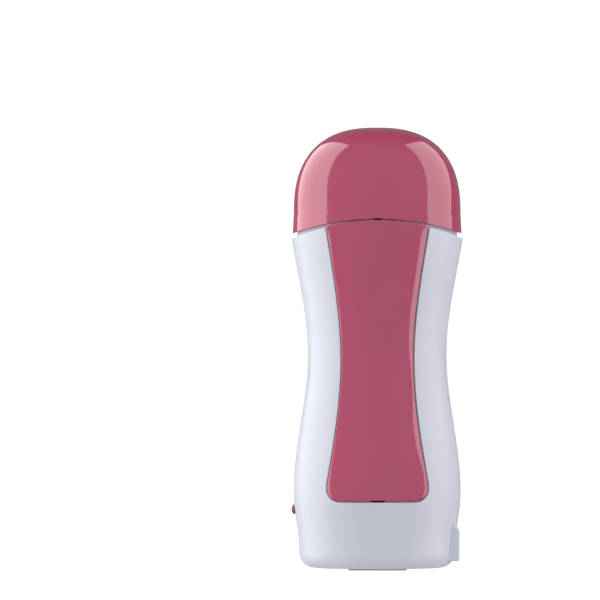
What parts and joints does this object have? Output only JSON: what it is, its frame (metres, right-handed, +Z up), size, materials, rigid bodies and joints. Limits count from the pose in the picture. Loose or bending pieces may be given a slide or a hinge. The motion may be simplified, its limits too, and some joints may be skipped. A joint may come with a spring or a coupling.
{
  "type": "roll-on wax heater",
  "caption": "Handheld roll-on wax heater: waisted oval body with a lift-off dome cap, a snap-in front panel, a rear cover and a heated bay for a wax cartridge.",
  "frame": {"origin": "on the resting surface, under the middle of the body's box", "axes": "+Z up along the body towards the cap, -Y towards the front panel, +X towards the mains inlet"},
  "size_m": [0.0796, 0.0589, 0.205],
  "materials": {
    "white_plastic": "satin gloss moulded ABS, faintly cool white",
    "collar_plastic": "moulded plastic, white",
    "pink_plastic": "high gloss moulded plastic, old rose",
    "screw_steel": "zinc plated",
    "foot_rubber": "matt rubber",
    "heat_plastic": "glass filled, heat resistant, dark grey",
    "sleeve_aluminium": "drawn and anodised",
    "heater_ceramic": "unglazed ceramic, off white",
    "heater_felt": "glass fibre felt",
    "band_steel": "spring strip",
    "part_plastic": "moulded black",
    "fuse_ceramic": "ceramic body",
    "inlet_plastic": "moulded black",
    "pin_brass": "nickel plated brass",
    "lens_plastic": "dark red translucent plastic",
    "lamp_glass": "clear glass",
    "resistor_coat": "lacquer coat",
    "lead_black": "silicone sleeve, black",
    "lead_blue": "silicone sleeve, blue"
  },
  "bodies": {
    "body": {"housing": "white_plastic", "rear_cover": "white_plastic", "rear_cover_screws": "screw_steel", "neck_collar": "collar_plastic", "foot_pads": "foot_rubber", "sleeve_seat": "heat_plastic", "seat_screws": "screw_steel", "heating_sleeve": "sleeve_aluminium", "heater_plate": "heater_ceramic", "heater_felt": "heater_felt", "clamp_bands": "band_steel", "thermostat": "part_plastic", "thermal_fuse": "fuse_ceramic", "inlet_body": "inlet_plastic", "inlet_pins": "pin_brass", "pin_connectors": "part_plastic", "indicator_lens": "lens_plastic", "neon_lamp": "lamp_glass", "lamp_resistor": "resistor_coat", "lead_live": "lead_black", "lead_link": "lead_black", "lead_fuse": "lead_black", "lead_neutral": "lead_blue", "lead_lamp_a": "lead_black", "lead_lamp_b": "lead_black", "lead_lamp_c": "lead_blue"},
    "cap": {"cap": "pink_plastic"},
    "panel": {"front_panel": "pink_plastic"}
  },
  "joints": [
    {"name": "cap_lift", "type": "slide", "parent": "body", "child": "cap", "axis": [0, 0, 1], "range_m": [0, 0.06]},
    {"name": "panel_pull", "type": "slide", "parent": "body", "child": "panel", "axis": [0, -1, 0], "range_m": [0, 0.03]}
  ]
}
